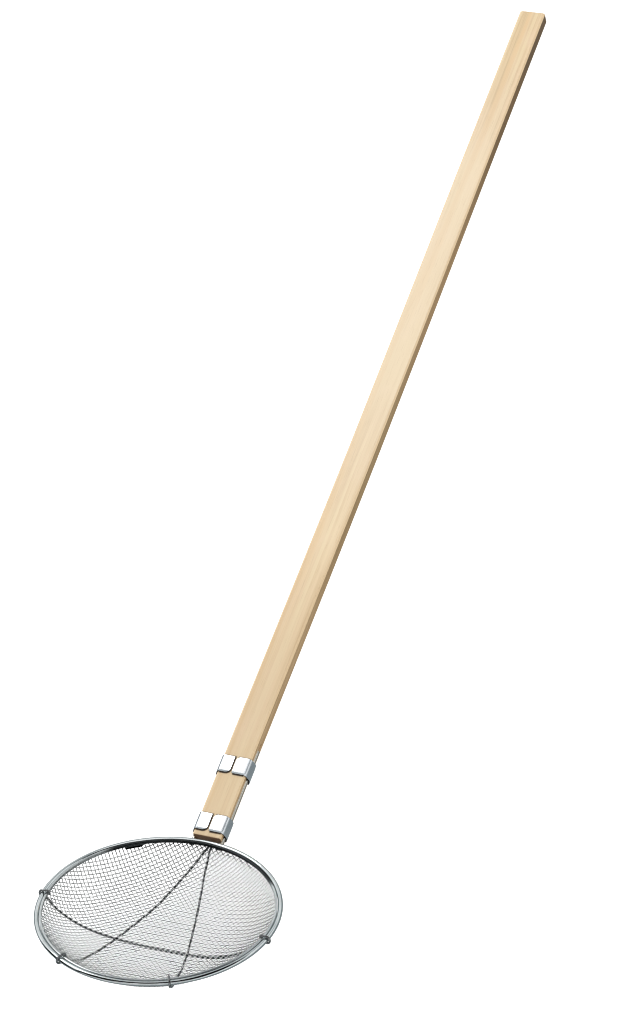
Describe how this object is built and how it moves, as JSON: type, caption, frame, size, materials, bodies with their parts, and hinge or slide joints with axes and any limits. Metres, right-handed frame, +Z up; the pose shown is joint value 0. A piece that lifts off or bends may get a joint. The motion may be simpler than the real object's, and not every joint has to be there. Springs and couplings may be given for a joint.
{
  "type": "mesh skimmer",
  "caption": "Long-handled skimmer: a shallow woven-wire bowl in a round wire rim with hooked support wires, fixed by tangs and sheet bands to the end of a flat wooden bar.",
  "frame": {"origin": "on the floor under the middle of the skimmer's box, lying on its back", "axes": "+X along the handle from the bowl to its butt end, +Z up out of the handle's front face"},
  "size_m": [1.3852, 0.249, 0.1175],
  "materials": {
    "wood": "planed pale softwood, unvarnished",
    "ring_steel": "polished stainless wire",
    "tang_steel": "drawn stainless wire",
    "hoop_steel": "polished folded strip",
    "mesh_steel": "woven stainless wire",
    "rib_steel": "drawn stainless wire",
    "band_steel": "bright sheet"
  },
  "bodies": {
    "root": {"handle": "wood", "ring_wire": "ring_steel", "left_tang": "tang_steel", "right_tang": "tang_steel", "edge_hoop": "hoop_steel", "mesh_bowl": "mesh_steel", "v_rib": "rib_steel", "cross_rib": "rib_steel", "upper_band": "band_steel", "lower_band": "band_steel"}
  },
  "joints": []
}
